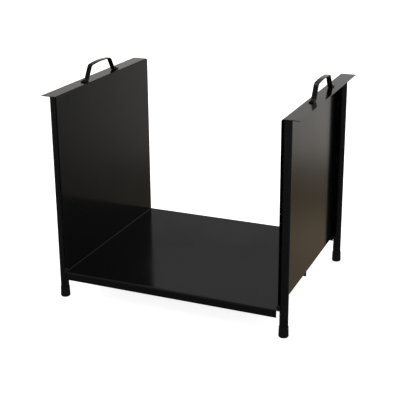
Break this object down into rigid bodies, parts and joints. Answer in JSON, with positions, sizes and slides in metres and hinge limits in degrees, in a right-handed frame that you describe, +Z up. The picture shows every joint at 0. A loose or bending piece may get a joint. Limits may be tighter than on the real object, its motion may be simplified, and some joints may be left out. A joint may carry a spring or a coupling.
{
  "type": "firewood log rack",
  "caption": "Open firewood rack: a lipped tray between two tall steel side panels on tube legs with end caps, with a strap handle on each side.",
  "frame": {"origin": "on the floor, midway between the two side panels and midway along their depth", "axes": "+X towards the rack's right side, +Y towards its rear, +Z up"},
  "size_m": [0.518, 0.4, 0.4552],
  "materials": {
    "panel_paint": "semi-gloss black paint on sheet steel",
    "tray_paint": "semi-gloss black paint on sheet steel",
    "leg_paint": "semi-gloss black paint on steel tube",
    "handle_paint": "gloss black paint on steel strap",
    "cap_plastic": "satin black moulded plastic",
    "blacked_steel": "black-coated screw and nut"
  },
  "bodies": {
    "root": {"log_tray": "tray_paint", "tray_stiffener": "leg_paint", "side_panel_left": "panel_paint", "side_panel_right": "panel_paint", "handle_left": "handle_paint", "handle_right": "handle_paint", "leg_front_left": "leg_paint", "leg_front_right": "leg_paint", "leg_rear_left": "leg_paint", "leg_rear_right": "leg_paint", "foot_cap_front_left": "cap_plastic", "foot_cap_front_right": "cap_plastic", "foot_cap_rear_left": "cap_plastic", "foot_cap_rear_right": "cap_plastic", "handle_screw_front_left": "blacked_steel", "handle_screw_front_right": "blacked_steel", "handle_screw_rear_left": "blacked_steel", "handle_screw_rear_right": "blacked_steel", "handle_nut_front_left": "blacked_steel", "handle_nut_front_right": "blacked_steel", "handle_nut_rear_left": "blacked_steel", "handle_nut_rear_right": "blacked_steel"}
  },
  "joints": []
}
